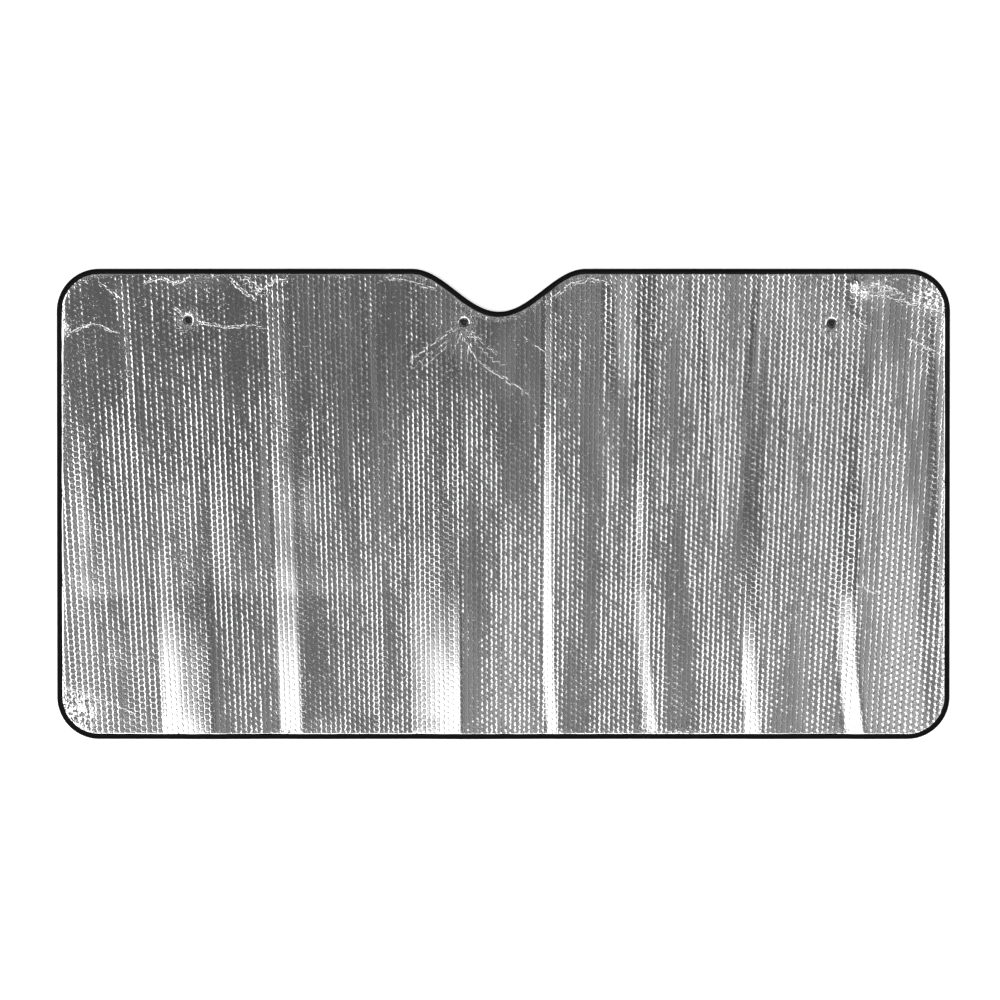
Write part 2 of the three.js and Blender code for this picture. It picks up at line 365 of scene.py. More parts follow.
# Surface of the foil: heights in millimetres, widths over the film in rows and in bubbles
foilSurface = {
    "grooveDepth": 0.5,
    "grooveReach": 0.2,  # half the width of the groove between two rows
    "zigzag": 0.4,
    "gapDepth": 0.1,
    "gapReach": 0.13,
    # what makes the depth uneven: lumps of noise to each row across and to each bubble down,
    # its detail and its roughness
    "noises": {
        "streak": ((0.8, 0.05, 1.0), 3.0, 0.65),
        "group": ((0.13, 0.015, 1.0), 2.0, 0.5),
        "single": ((1.1, 0.6, 1.0), 1.0, 0.5),
    },
    "crinklesPerMetre": 300.0,  # about 3.3 mm across
    "crinkleHeight": 0.06,
    "dentHeight": 0.11,
    "facetsPerMetre": 260.0,  # about 3.8 mm across
    "creaseHeight": 0.5,
    "creaseReach": 0.9,
    "swingsPerMetre": 130.0,  # a crease swings to and fro every 7.7 mm or so
    "swingReach": 10.0,
    "breaksPerMetre": 75.0,  # and is broken every 13 mm or so
    # its two lines: how far beside the crease, strength, share where it is broken, share elsewhere
    "creaseLines": [(0.0, 0.85, 0.1, 1.0), (3.5, 0.4, 1.0, 0.0)],
}


def drawGrooves(tree):
    # height of the film: grooves between its rows of bubbles, gaps between the bubbles of a row
    film = addNode(tree, "Attribute", attribute_name="film")["Vector"]
    drawn = addNode(tree, "Attribute", attribute_name="drawn")["Fac"]
    column, along, _ = addNode(tree, "SeparateXYZ", [film])
    # the rows stand half a bubble out of step, so the groove between two rows zigzags
    whole = addNode(tree, "Math", [column], operation="FLOOR")[0]
    fromRow = addNode(tree, "Math", [column, whole], operation="SUBTRACT")[0]
    counted = addNode(tree, "Math", [whole, 400.0], operation="ADD")[0]
    odd = addNode(tree, "Math", [counted, 2.0], operation="MODULO")[0]
    shift = addNode(tree, "Math", [odd, 0.5], operation="MULTIPLY")[0]
    shifted = addNode(tree, "Math", [along, shift], operation="ADD")[0]
    upBubble = addNode(tree, "Math", [shifted], operation="FRACT")[0]
    fromCentre = addNode(tree, "Math", [upBubble, 0.5], operation="SUBTRACT")[0]
    up = addNode(tree, "Math", [fromCentre], operation="ABSOLUTE")[0]
    swing = addNode(tree, "Math", [0.25, up], operation="SUBTRACT")[0]
    zigzag = addNode(tree, "Math", [swing, foilSurface["zigzag"]], operation="MULTIPLY")[0]
    fromMiddle = addNode(tree, "Math", [fromRow, 0.5], operation="SUBTRACT")[0]
    offGroove = addNode(tree, "Math", [fromMiddle, zigzag], operation="SUBTRACT")[0]
    fromGroove = addNode(tree, "Math", [offGroove], operation="ABSOLUTE")[0]
    groove = addNode(tree, "MapRange", [fromGroove, 0.0, foilSurface["grooveReach"], 1.0, 0.0],
                     interpolation_type="SMOOTHSTEP")[0]
    # the gaps of the next row lie half a bubble further up
    nextRow = addNode(tree, "Math", [fromRow, 0.5], operation="GREATER_THAN")[0]
    gapShift = addNode(tree, "Math", [nextRow, 0.5], operation="MULTIPLY")[0]
    fromEnd = addNode(tree, "Math", [0.5, up], operation="SUBTRACT")[0]
    offGap = addNode(tree, "Math", [fromEnd, gapShift], operation="SUBTRACT")[0]
    fromGap = addNode(tree, "Math", [offGap], operation="ABSOLUTE")[0]
    gapLine = addNode(tree, "MapRange", [fromGap, 0.0, foilSurface["gapReach"], 1.0, 0.0],
                      interpolation_type="SMOOTHSTEP")[0]
    clear = addNode(tree, "MapRange", [fromGroove, 0.05, foilSurface["grooveReach"], 0.0, 1.0])[0]
    gap = addNode(tree, "Math", [gapLine, clear], operation="MULTIPLY")[0]
    # the foil is drawn in deeper between some rows than others, that changes down each row, and
    # a little from bubble to bubble
    noises = {}
    for name, (lumps, detail, roughness) in foilSurface["noises"].items():
        place = addNode(tree, "VectorMath", [film, lumps], operation="MULTIPLY")[0]
        noises[name] = addNode(tree, "TexNoise", {"Vector": place, "Scale": 1.0, "Detail": detail,
                                                  "Roughness": roughness})["Fac"]
    depth = addNode(tree, "MapRange", [noises["streak"], 0.35, 0.65, 0.3, 1.0])[0]
    byGroup = addNode(tree, "MapRange", [noises["group"], 0.4, 0.56, 0.3, 1.15])[0]
    byBubble = addNode(tree, "MapRange", [noises["single"], 0.35, 0.65, 0.6, 1.5])[0]
    # a groove is deepest beside the middle of the bubble on its right
    bySide = addNode(tree, "MapRange", [up, 0.05, 0.45, 0.5, 1.0],
                     interpolation_type="SMOOTHSTEP")[0]
    for share in (byGroup, drawn, byBubble, bySide):
        depth = addNode(tree, "Math", [depth, share], operation="MULTIPLY")[0]
    drawnGroove = addNode(tree, "Math", [groove, depth], operation="MULTIPLY")[0]
    height = addNode(tree, "Math", [drawnGroove, -foilSurface["grooveDepth"]],
                     operation="MULTIPLY")[0]
    byStreak = addNode(tree, "MapRange", [noises["streak"], 0.4, 0.7, 0.0, 1.0])[0]
    shallow = addNode(tree, "Math", [gap, byStreak], operation="MULTIPLY")[0]
    drawnGap = addNode(tree, "Math", [shallow, drawn], operation="MULTIPLY")[0]
    return addNode(tree, "Math", [drawnGap, -foilSurface["gapDepth"], height],
                   operation="MULTIPLY_ADD")[0]


def addCrinkles(tree, place, height):
    # fine crinkles, a few millimetres across, with a sharp dent here and there, which glints
    crinkle = addNode(tree, "TexNoise", {"Vector": place, "Scale": foilSurface["crinklesPerMetre"],
                                         "Detail": 3.0, "Roughness": 0.6})["Fac"]
    dent = addNode(tree, "MapRange", [crinkle, 0.66, 0.78, 0.0, 1.0])[0]
    for level, rise in ((crinkle, "crinkleHeight"), (dent, "dentHeight")):
        height = addNode(tree, "Math", [level, foilSurface[rise], height],
                         operation="MULTIPLY_ADD")[0]
    # crumpled places: flat facets, each tilted its own way
    crumple = addNode(tree, "Attribute", attribute_name="crumple")["Fac"]
    scaled = addNode(tree, "VectorMath", [place, [foilSurface["facetsPerMetre"]] * 3],
                     operation="MULTIPLY")[0]
    cells = addNode(tree, "TexVoronoi", {"Vector": scaled, "Scale": 1.0})
    fromCell = addNode(tree, "VectorMath", [scaled, cells["Position"]], operation="SUBTRACT")[0]
    tilt = addNode(tree, "VectorMath", [cells["Color"], (0.5, 0.5, 0.5)], operation="SUBTRACT")[0]
    facet = addNode(tree, "VectorMath", [fromCell, tilt], operation="DOT_PRODUCT")["Value"]
    return addNode(tree, "Math", [facet, crumple, height], operation="MULTIPLY_ADD")[0]


def addCreases(tree, place, height):
    # creases made by hand: a sharp line with the foil falling away on both sides
    creaseGap = addNode(tree, "Attribute", attribute_name="creaseGap")["Fac"]
    creaseRise = addNode(tree, "Attribute", attribute_name="creaseRise")["Fac"]
    swing = addNode(tree, "TexNoise", {"Vector": place, "Scale": foilSurface["swingsPerMetre"],
                                       "Detail": 3.0, "Roughness": 0.7})["Fac"]
    broken = addNode(tree, "TexNoise", {"Vector": place, "Scale": foilSurface["breaksPerMetre"],
                                        "Detail": 2.0})["Fac"]
    toAndFro = addNode(tree, "Math", [swing, 0.5], operation="SUBTRACT")[0]
    wandering = addNode(tree, "Math", [toAndFro, foilSurface["swingReach"], creaseGap],
                        operation="MULTIPLY_ADD")[0]
    # broken in places, and doubled there by a weaker line beside it
    lines = []
    for beside, strength, whereBroken, elsewhere in foilSurface["creaseLines"]:
        off = addNode(tree, "Math", [wandering, beside], operation="ADD")[0]
        away = addNode(tree, "Math", [off], operation="ABSOLUTE")[0]
        line = addNode(tree, "MapRange", [away, 0.0, foilSurface["creaseReach"], strength, 0.0])[0]
        share = addNode(tree, "MapRange", [broken, 0.44, 0.56, whereBroken, elsewhere])[0]
        lines.append(addNode(tree, "Math", [line, share], operation="MULTIPLY")[0])
    both = addNode(tree, "Math", lines, operation="ADD")[0]
    risen = addNode(tree, "Math", [both, creaseRise], operation="MULTIPLY")[0]
    return addNode(tree, "Math", [risen, foilSurface["creaseHeight"], height],
                   operation="MULTIPLY_ADD")[0]


def bubbleFoilMaterial():
    # aluminium foil laminated over bubble film: a mirror broken up by the bubbles and by crinkles,
    # which shows dark on the flat tops and bright in thin lines between them
    material, tree, shader = newMaterial("Crinkled_aluminium_bubble_foil", "#DBDBDB", Metallic=1.0,
                                         Roughness=0.13)
    place = addNode(tree, "TexCoord")["Object"]
    height = drawGrooves(tree)
    height = addCrinkles(tree, place, height)
    height = addCreases(tree, place, height)
    # the corner that was bent up
    lift = addNode(tree, "Attribute", attribute_name="lift")["Fac"]
    height = addNode(tree, "Math", [height, lift], operation="ADD")[0]
    bump = addNode(tree, "Bump", {"Height": height, "Distance": mm, "Strength": 1.0})[0]
    tree.links.new(bump, shader.inputs["Normal"])
    return material


foilMaterial = bubbleFoilMaterial()

# Both foils: grids along the rows of bubbles, cut to the outline under the tape
foilGrid = {
    "samplesAcross": (-0.5, 0.0),  # of the front foil, for each row of bubbles
    "frontRows": 128,
    "backRows": 60,
    "besideTape": (2.2, 5.3, 8),  # a few rows more, this far from both ends
    "hiddenUnderTape": 4,  # the foil ends this far in from the outer edge
    "edgeTries": 4001,  # places tried along a column to find its two ends
    "leastTries": 60,  # a column with fewer of them inside is left out
    "holeEdge": 1.5,  # how much wider the hole is drawn, under the head of the cup
    "finerRing": 4,  # the mesh is finer up to here beyond the pressed ring
    "finerCuts": 3,
}

creases = [
    {"points": [(-742, 281), (-722, 291), (-704, 301), (-679, 303), (-641, 284)], "rise": 1.0},
    {"points": [(-737, 306), (-722, 291)], "rise": 0.9},
    {"points": [(-679, 373), (-660, 362), (-641, 343)], "rise": 0.5},
    {"points": [(-608, 371), (-577, 382), (-552, 373), (-519, 383)], "rise": 0.9},
    {"points": [(-460, 382), (-434, 357), (-409, 340)], "rise": 1.0},
    {"points": [(-434, 385), (-406, 360), (-384, 377), (-359, 377)], "rise": 1.0},
    {"points": [(-536, 312), (-545, 322), (-556, 330)], "rise": 1.0},
    {"points": [(-519, 308), (-485, 303), (-465, 298), (-435, 301), (-389, 298)], "rise": 1.0},
    {"points": [(-199, 381), (-165, 377), (-132, 368), (-107, 360)], "rise": 0.9},
    {"points": [(82, 347), (112, 370), (146, 379), (196, 368)], "rise": 0.9},
    {"points": [(-74, 298), (-107, 277), (-172, 228)], "rise": 0.55},
    {"points": [(-72, 292), (-98, 262), (-150, 215)], "rise": 0.3},
    {"points": [(-60, 297), (-35, 275), (-5, 250)], "rise": 0.55},
    {"points": [(-62, 288), (-46, 243), (0, 215), (53, 175)], "rise": 0.8},
    {"points": [(-66, 292), (-70, 262), (-72, 215)], "rise": 0.35},
    {"points": [(33, 283), (60, 262), (72, 255)], "rise": 0.5},
    {"points": [(-741, -304), (-678, -326), (-611, -355)], "rise": 0.9},
    {"points": [(591, 360), (634, 352), (667, 341), (706, 335), (743, 318)], "rise": 1.0},
    {"points": [(610, 372), (650, 366), (676, 350)], "rise": 0.7},
    {"points": [(590, 310), (625, 290)], "rise": 0.5},
    {"points": [(676, 280), (715, 262), (742, 245)], "rise": 0.7},
    {"points": [(591, -133), (633, -148)], "rise": 0.7},
]

# The top right corner was bent up along a line
bentCorner = {"from": (591, 360), "to": (743, 322), "slope": 0.05}

creaseFade = {
    "reach": 14,  # how far beside a crease its rise is stored
    "start": (-0.02, 0.15),  # shares of its length over which it grows
    "end": (0.75, 1),  # and dies out
    "far": 99.0,  # the distance stored where there is no crease
}

crumples = {
    # centre and radius of each crumpled spot, and how steep its facets are
    "spots": [(-530, 308, 13, 1.1), (-66, 304, 13, 0.9), (551, 303, 13, 1.3), (715, 345, 18, 1.5),
              (-722, -352, 26, 1.8), (606, 352, 8, 1.5)],
    "edgeTilt": 1.8,
    "edgeStrip": 9,
    "edgeLeast": 0.12,
    "edgeLumps": [(0.45, 45, 45, 12)],  # noise, as mixedNoise takes it
}

# How deep the foil is drawn in between the rows: slack towards the top left, deepest at the right
drawnIn = {
    "slack": 0.35,
    "slackHeights": (-60, 330),  # it goes slack upwards between these
    "heightLumps": [(60, 160, 160, 41)],
    "tightFrom": (60, 200),  # but stays tight to the right of these
    "sideLumps": [(40, 160, 160, 43)],
    "mottle": [(0.3, 60, 220, 42)],
    "deeper": 0.3,
    "deeperFrom": (150, 420),
}


def gridShares(rows):
    # evenly spaced, with a few rows more beside the tape at both ends
    even = np.linspace(0, 1, rows + 1)
    beside = np.array(foilGrid["besideTape"]) / (2 * halfHeight)
    return np.unique(np.concatenate([even, beside, 1 - beside]))


def makeFoilGrid(columns, rows):
    # a flat grid whose columns follow the rows of bubbles from the bottom edge to the top
    inset = foilGrid["hiddenUnderTape"]
    line = np.linspace(-halfHeight, halfHeight, foilGrid["edgeTries"])
    share = gridShares(rows)
    points = []
    for column in columns:
        inside = line[edgeDistance(columnX(np.full_like(line, column), line), line) >= inset]
        if len(inside) > foilGrid["leastTries"]:
            y = mix(inside[0], inside[-1], share)
            points.append(np.column_stack([columnX(np.full_like(y, column), y), y]))
    faces = []
    for i in range(len(points) - 1):
        for j in range(len(share) - 1):
            a = i * len(share) + j
            b = a + len(share)
            faces.append((a, b, b + 1, a + 1))
    return np.concatenate(points), faces


def cutSlit(work, centre, turn):
    # cut along both sides and the end of a slit, then take out what lies between
    along = Vector((math.cos(turn), math.sin(turn), 0))
    across = Vector((-along.y, along.x, 0))
    half, reach = cups["slitWidth"] / 2, cups["slitReach"]
    for place, way in ((across * half, across), (across * -half, across), (along * reach, along)):
        middle = centre + along * reach * 0.6
        faces = [f for f in work.faces if (f.calc_center_median() - middle).length < reach]
        parts = {e for f in faces for e in f.edges} | {v for f in faces for v in f.verts} | set(faces)
        bmesh.ops.bisect_plane(work, geom=list(parts), plane_co=centre + place, plane_no=way)
    inside = []
    for face in work.faces:
        off = face.calc_center_median() - centre
        if 0 < off.dot(along) < reach and abs(off.dot(across)) < half:
            inside.append(face)
    bmesh.ops.delete(work, geom=inside, context="FACES")


def openHoles(points, faces):
    # a finer mesh round the punched holes, then the holes themselves and their slits
    radius = cups["holeRadius"] + foilGrid["holeEdge"]
    reach = cups["pressedRadius"] + foilGrid["finerRing"]
    work = bmesh.new()
    verts = [work.verts.new((x, y, 0)) for x, y in points]
    for face in faces:
        work.faces.new([verts[i] for i in face])
    for cup, (cx, cy) in cups["places"].items():
        centre = Vector((cx, cy, 0))
        near = [e for e in work.edges if min((v.co - centre).length for v in e.verts) < reach]
        bmesh.ops.subdivide_edges(work, edges=near, cuts=foilGrid["finerCuts"], use_grid_fill=True)
        inner = [f for f in work.faces if (f.calc_center_median() - centre).length < radius]
        bmesh.ops.delete(work, geom=inner, context="FACES")
        for vert in work.verts:
            if vert.is_boundary and (vert.co - centre).length < reach:
                vert.co = centre + (vert.co - centre).normalized() * radius
        cutSlit(work, centre, math.radians(cups["slitTurns"][cup]))
    bmesh.ops.triangulate(work, faces=[f for f in work.faces if len(f.verts) > 4])
    work.verts.index_update()
    flat = np.array([v.co[:2] for v in work.verts])
    loops = [[v.index for v in f.verts] for f in work.faces]
    work.free()
    return flat, loops


def creaseValues(x, y):
    # signed distance to the nearest crease, and its rise, fading at its two ends
    gap = np.full_like(x, creaseFade["far"])
    rise = np.zeros_like(x)
    for crease in creases:
        points = crease["points"]
        total = sum(math.dist(a, b) for a, b in zip(points, points[1:]))
        done = 0
        for start, end in zip(points, points[1:]):
            along, off, length = alongLine(x, y, start, end)
            distance = np.hypot(off, np.maximum(np.maximum(-along, along - length), 0))
            closer = distance < np.abs(gap)
            share = np.clip((done + along) / total, 0, 1)
            fade = ease(share, *creaseFade["start"]) * (1 - ease(share, *creaseFade["end"]))
            fade = fade * (distance < creaseFade["reach"])
            gap = np.where(closer, np.where(off < 0, -distance, distance), gap)
            rise = np.where(closer, crease["rise"] * fade, rise)
            done += length
    return gap, rise


def crumpleValues(x, y):
    amount = np.zeros_like(x)
    for cx, cy, radius, tilt in crumples["spots"]:
        amount = np.maximum(amount, tilt * np.exp(-((x - cx) ** 2 + (y - cy) ** 2) / radius ** 2))
    besideTape = edgeDistance(x, y) - sheet["bindingWidth"]
    strip = 1 - ease(besideTape, 0, crumples["edgeStrip"])
    lumps = crumples["edgeLeast"] + mixedNoise(x, y, crumples["edgeLumps"])
    return np.maximum(amount, crumples["edgeTilt"] * (strip * np.clip(lumps, 0, 1)))


def drawnValues(x, y):
    lower = 1 - ease(y + mixedNoise(x, y, drawnIn["heightLumps"]), *drawnIn["slackHeights"])
    right = ease(x + mixedNoise(x, y, drawnIn["sideLumps"]), *drawnIn["tightFrom"])
    tight = np.clip(np.maximum(lower, right) + mixedNoise(x, y, drawnIn["mottle"]), 0, 1)
    deeper = 1 + drawnIn["deeper"] * ease(x, *drawnIn["deeperFrom"])
    return mix(drawnIn["slack"], 1, tight) * deeper


def liftValues(x, y):
    # the sheet rises evenly on the left of the line
    start, end = bentCorner["from"], bentCorner["to"]
    _, beyond, _ = alongLine(x, y, start, end)
    return bentCorner["slope"] * np.maximum(beyond, 0) * ease(x, start[0] - 5, start[0] + 5)


def makeFoil(name, columns, rows, heightOf, facingUp):
    points, faces = openHoles(*makeFoilGrid(columns, rows))
    x, y = points[:, 0], points[:, 1]
    if not facingUp:
        faces = [face[::-1] for face in faces]
    piece = meshObject(name, np.column_stack([x, y, heightOf(x, y)]) * mm, faces, foilMaterial)
    gap, rise = creaseValues(x, y)
    storeValues(piece, "film", np.column_stack([bubbleColumn(x, y), y / sheet["bubblePitch"], 0 * x]))
    storeValues(piece, "creaseGap", gap)
    storeValues(piece, "creaseRise", rise)
    storeValues(piece, "crumple", crumpleValues(x, y))
    storeValues(piece, "drawn", drawnValues(x, y))
    storeValues(piece, "lift", liftValues(x, y))
    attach(piece, "sheet")
    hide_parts("bubble_foil_panel")
    print(name, len(faces), "faces")
    return piece


lastRow = math.ceil(bubbleColumn(np.array([halfLength + 30.0]), np.array([-halfHeight]))[0])
fineColumns = [row + part for row in range(-lastRow, lastRow + 1)
               for part in foilGrid["samplesAcross"]]
frontPiece = makeFoil("front_foil", fineColumns, foilGrid["frontRows"], foilHeight, True)
backPiece = makeFoil("back_foil", range(-lastRow, lastRow + 1), foilGrid["backRows"], backHeight,
                     False)

# Edge binding: a woven tape folded over the edge and sewn down
binding = {
    "stationPitch": 3.0,
    # section: how far in from the outer edge, height over the sheet's underside
    "section": [
        (9.0, 3.0), (9.15, 3.4), (8.8, 3.75), (7.4, 3.85), (6.2, 3.6), (5.0, 3.9), (2.6, 3.95),
        (1.0, 3.4), (0.2, 2.6), (0.0, 1.95), (0.2, 1.2), (1.0, 0.4), (2.6, 0.0), (5.0, 0.0),
        (6.2, 0.25), (7.4, 0.05), (8.8, 0.05), (9.15, 0.4), (9.0, 0.8), (1.6, 0.85), (1.1, 1.1),
        (1.1, 2.7), (1.6, 2.95),
    ],
    "middle": 2,  # what is higher than this belongs to the front side
    "pucker": 0.14,
    "backPucker": 0.3,  # as a share of that
    "puckerFrom": (2, 9),  # how far in from the edge it starts, and where it is full
    "puckerLumps": (21, 19, 31),  # width in x and in y, seed
    "weaveScale": 0.45,  # a wave repeats every 0.314 / scale: here every 0.7 mm
    "weaveRelief": 0.12,
    "stitchPitch": 3.9,
    "stitchLength": 3.1,
    "stitchInset": 6.2,
    "stitchHeights": (3.62, 0.23),  # over the sheet's underside, on its front and on its back
    # along a stitch: place in lengths, thickness, height in thread radii
    "stitchShape": [(-0.5, 0.4, -0.25), (-0.3, 1.0, 0.1), (0.3, 1.0, 0.1), (0.5, 0.4, -0.25)],
    "threadRadius": 0.26,
    "threadSides": 5,
}


def outlinePoints(pitch):
    # evenly spaced along the outer edge, counter-clockwise, each with its outward direction
    radius = sheet["cornerRadius"]
    cornerX, cornerY = halfLength - radius, halfHeight - radius
    path = []
    for turn, (cx, cy) in enumerate([(cornerX, -cornerY), (cornerX, cornerY), (-cornerX, cornerY),
                                     (-cornerX, -cornerY)]):
        for angle in np.linspace(0, math.pi / 2, 40) + (turn - 1) * math.pi / 2:
            path.append((cx + radius * math.cos(angle), cy + radius * math.sin(angle)))
        if turn == 1:
            across = np.linspace(1, -1, 161) * sheet["notchHalfWidth"] + sheet["notchCentre"]
            path.extend(zip(across, halfHeight - notchDrop(across)))
    path = np.array(path + path[:1])
    steps = np.hypot(*np.diff(path, axis=0).T)
    travelled = np.concatenate([[0], np.cumsum(steps)])
    count = round(travelled[-1] / pitch)
    places = np.arange(count) * travelled[-1] / count
    x = np.interp(places, travelled, path[:, 0])
    y = np.interp(places, travelled, path[:, 1])
    tangentX = np.roll(x, -1) - np.roll(x, 1)
    tangentY = np.roll(y, -1) - np.roll(y, 1)
    length = np.hypot(tangentX, tangentY)
    return x, y, tangentY / length, -tangentX / length


def edgeHeight(x, y, outX, outY, inset):
    # the sheet's underside, which runs straight across the edge
    reach = sheet["edgeReach"]
    outer = restHeight(x, y)
    inner = restHeight(x - reach * outX, y - reach * outY)
    return mix(outer, inner, inset / reach)


def tapeMaterial():
    # black polyester tape, woven plain: matt, with fine ribs that catch the light along the fold;
    # its threads are drawn coarser than the real ones, so that they show
    material, tree, shader = newMaterial("Woven_polyester_tape", "#060505", Roughness=0.5,
                                         Specular_IOR_Level=0.07, Sheen_Weight=0.01,
                                         Sheen_Roughness=0.4)
    place = addNode(tree, "Attribute", attribute_name="weave")["Vector"]
    warp, weft = [addNode(tree, "TexWave", {"Vector": place, "Scale": binding["weaveScale"],
                                            "Distortion": 0.4}, bands_direction=way)["Fac"]
                  for way in "XY"]
    threads = addNode(tree, "Math", [warp, weft], operation="MAXIMUM")[0]
    bump = addNode(tree, "Bump", {"Height": threads, "Distance": binding["weaveRelief"] * mm,
                                  "Strength": 0.8})[0]
    tree.links.new(bump, shader.inputs["Normal"])
    return material


wovenTape = tapeMaterial()


def makeBinding():
    x, y, outX, outY = outlinePoints(binding["stationPitch"])
    section = np.array(binding["section"])
    count, rounds = len(x), len(section)
    around = np.concatenate([[0], np.cumsum(np.hypot(*np.diff(section, axis=0).T))])
    lumps = smoothNoise(x, y, *binding["puckerLumps"])
    points, weave = [], []
    for k, (inset, up) in enumerate(section):
        # the sewn-down side of the tape puckers a little between the stitches
        side = 1 if up > binding["middle"] else binding["backPucker"]
        wave = lumps * binding["pucker"] * (ease(np.float64(inset), *binding["puckerFrom"]) * side)
        shift = inset + 2 * wave
        z = edgeHeight(x, y, outX, outY, shift) + up + wave
        points.append(np.column_stack([x - shift * outX, y - shift * outY, z]))
        weave.append(np.column_stack([np.arange(count) * binding["stationPitch"],
                                      np.full(count, around[k]), np.zeros(count)]))
    faces = []
    for k in range(rounds):
        for i in range(count):
            a, b = k * count + i, k * count + (i + 1) % count
            c, d = (k + 1) % rounds * count + (i + 1) % count, (k + 1) % rounds * count + i
            faces.append((a, d, c, b))
    piece = meshObject("binding_tape", np.concatenate(points) * mm, faces, wovenTape)
    storeValues(piece, "weave", np.concatenate(weave))
    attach(piece, "sheet")
    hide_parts("edge_binding")
    print("binding", len(faces), "faces")
    return piece


def makeStitches():
    # short stitches of black thread along both sides of the tape
    x, y, outX, outY = outlinePoints(binding["stitchPitch"])
    inset, radius, sides = binding["stitchInset"], binding["threadRadius"], binding["threadSides"]
    shape = binding["stitchShape"]
    points, faces = [], []
    for up in binding["stitchHeights"]:
        z = edgeHeight(x, y, outX, outY, inset) + up
        outward = 1 if up > binding["middle"] else -1
        for i in range(len(x)):
            middle = np.array([x[i] - inset * outX[i], y[i] - inset * outY[i], z[i]])
            forward = np.array([-outY[i], outX[i], 0.0])
            sideways = np.array([outX[i], outY[i], 0.0])
            first = len(points)
            for place, width, lift in shape:
                ring = middle + forward * place * binding["stitchLength"]
                ring[2] += lift * radius * outward
                for angle in np.arange(sides) * math.tau / sides:
                    across = sideways * math.cos(angle) + np.array([0, 0, math.sin(angle)])
                    points.append(ring + across * radius * width)
            last = len(points) - sides
            for ring in range(first, last, sides):
                for k in range(sides):
                    a, b = ring + k, ring + (k + 1) % sides
                    faces.append((a, a + sides, b + sides, b))
            faces.append(tuple(first + k for k in range(sides)))
            faces.append(tuple(last + k for k in reversed(range(sides))))
    # spun polyester: matt and hairy, so it shows a shade paler than the tape
    material, _, _ = newMaterial("Spun_polyester_thread", "#121112", Roughness=0.7)
    piece = meshObject("binding_stitches", np.array(points) * mm, faces, material)
    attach(piece, "sheet")
    print("stitches", len(faces), "faces")
    return piece


bindingPiece = makeBinding()
stitchPiece = makeStitches()

# Suction cups, moulded in one piece: a dome, a flat shoulder, a neck and a round head
suctionCup = {
    "steps": 72,
    # radius and height, from the middle of the hollow out to the rim and up to the top of the head
    "profile": [
        (0, 7.4), (3, 7.35), (6, 6.9), (9.5, 5.6), (14, 3.6), (18.5, 1.9), (21.6, 0.6), (22.8, 0.05),
        (23.2, 0), (24.6, 0), (24.95, 0.15), (25, 0.45), (24.8, 0.8), (22.5, 1.8), (19, 3.3),
        (16, 4.9), (13, 6.7), (10.5, 8.5), (8.6, 9.5), (7.2, 9.9), (6.6, 10), (4.6, 10), (4.0, 10.2),
        (3.8, 10.6), (3.8, 11.7), (4.0, 12.0), (4.5, 12.12), (5.6, 12.15), (6.15, 12.35), (6.3, 12.8),
        (6.3, 13.6), (6.1, 14.2), (5.5, 14.75), (4.4, 15.0), (2.4, 15.1), (1.2, 15.08),
        (0.9, 14.8), (0, 14.75),
    ],
    "flowPerMetre": 160.0,  # faint flow marks of the moulding, 6 mm apart
    "flowRelief": 0.05,
}


def vinylMaterial():
    # soft clear vinyl painted near-black, a painted shade for the shadow under the sheet seen through
    # the head: glossy, and dark except where it mirrors a light
    material, tree, shader = newMaterial("Moulded_vinyl_painted_shade", "#060607", Roughness=0.14,
                                         Transmission_Weight=0.15, IOR=1.52)
    place = addNode(tree, "TexCoord")["Object"]
    flow = addNode(tree, "TexNoise", {"Vector": place, "Scale": suctionCup["flowPerMetre"],
                                      "Detail": 2.0})["Fac"]
    bump = addNode(tree, "Bump", {"Height": flow, "Distance": suctionCup["flowRelief"] * mm,
                                  "Strength": 0.6})[0]
    tree.links.new(bump, shader.inputs["Normal"])
    return material


# the cups' vinyl: its near-black colour is painted shade, not a tint of the moulding
vinylPaintedShade = vinylMaterial()


def makeCup(node, body):
    cx, cy = cups["places"][node]
    profile, steps = suctionCup["profile"], suctionCup["steps"]
    points, faces = [(cx, cy, profile[0][1])], []
    for radius, z in profile[1:-1]:
        for k in range(steps):
            angle = k * math.tau / steps
            points.append((cx + radius * math.cos(angle), cy + radius * math.sin(angle), z))
    points.append((cx, cy, profile[-1][1]))
    rings = len(profile) - 2
    for k in range(steps):
        after = (k + 1) % steps
        faces.append((0, 1 + k, 1 + after))
        for r in range(rings - 1):
            a, b = 1 + r * steps + k, 1 + r * steps + after
            faces.append((a, a + steps, b + steps, b))
        low = 1 + (rings - 1) * steps
        faces.append((low + k, len(points) - 1, low + after))
    piece = meshObject(node + "_moulding", np.array(points) * mm, faces, vinylPaintedShade)
    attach(piece, body)
    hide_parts(node)


for node, body in (("suction_cup_left", "left_cup"), ("suction_cup_centre", "centre_cup"),
                   ("suction_cup_right", "right_cup")):
    makeCup(node, body)
print("suction cups done")

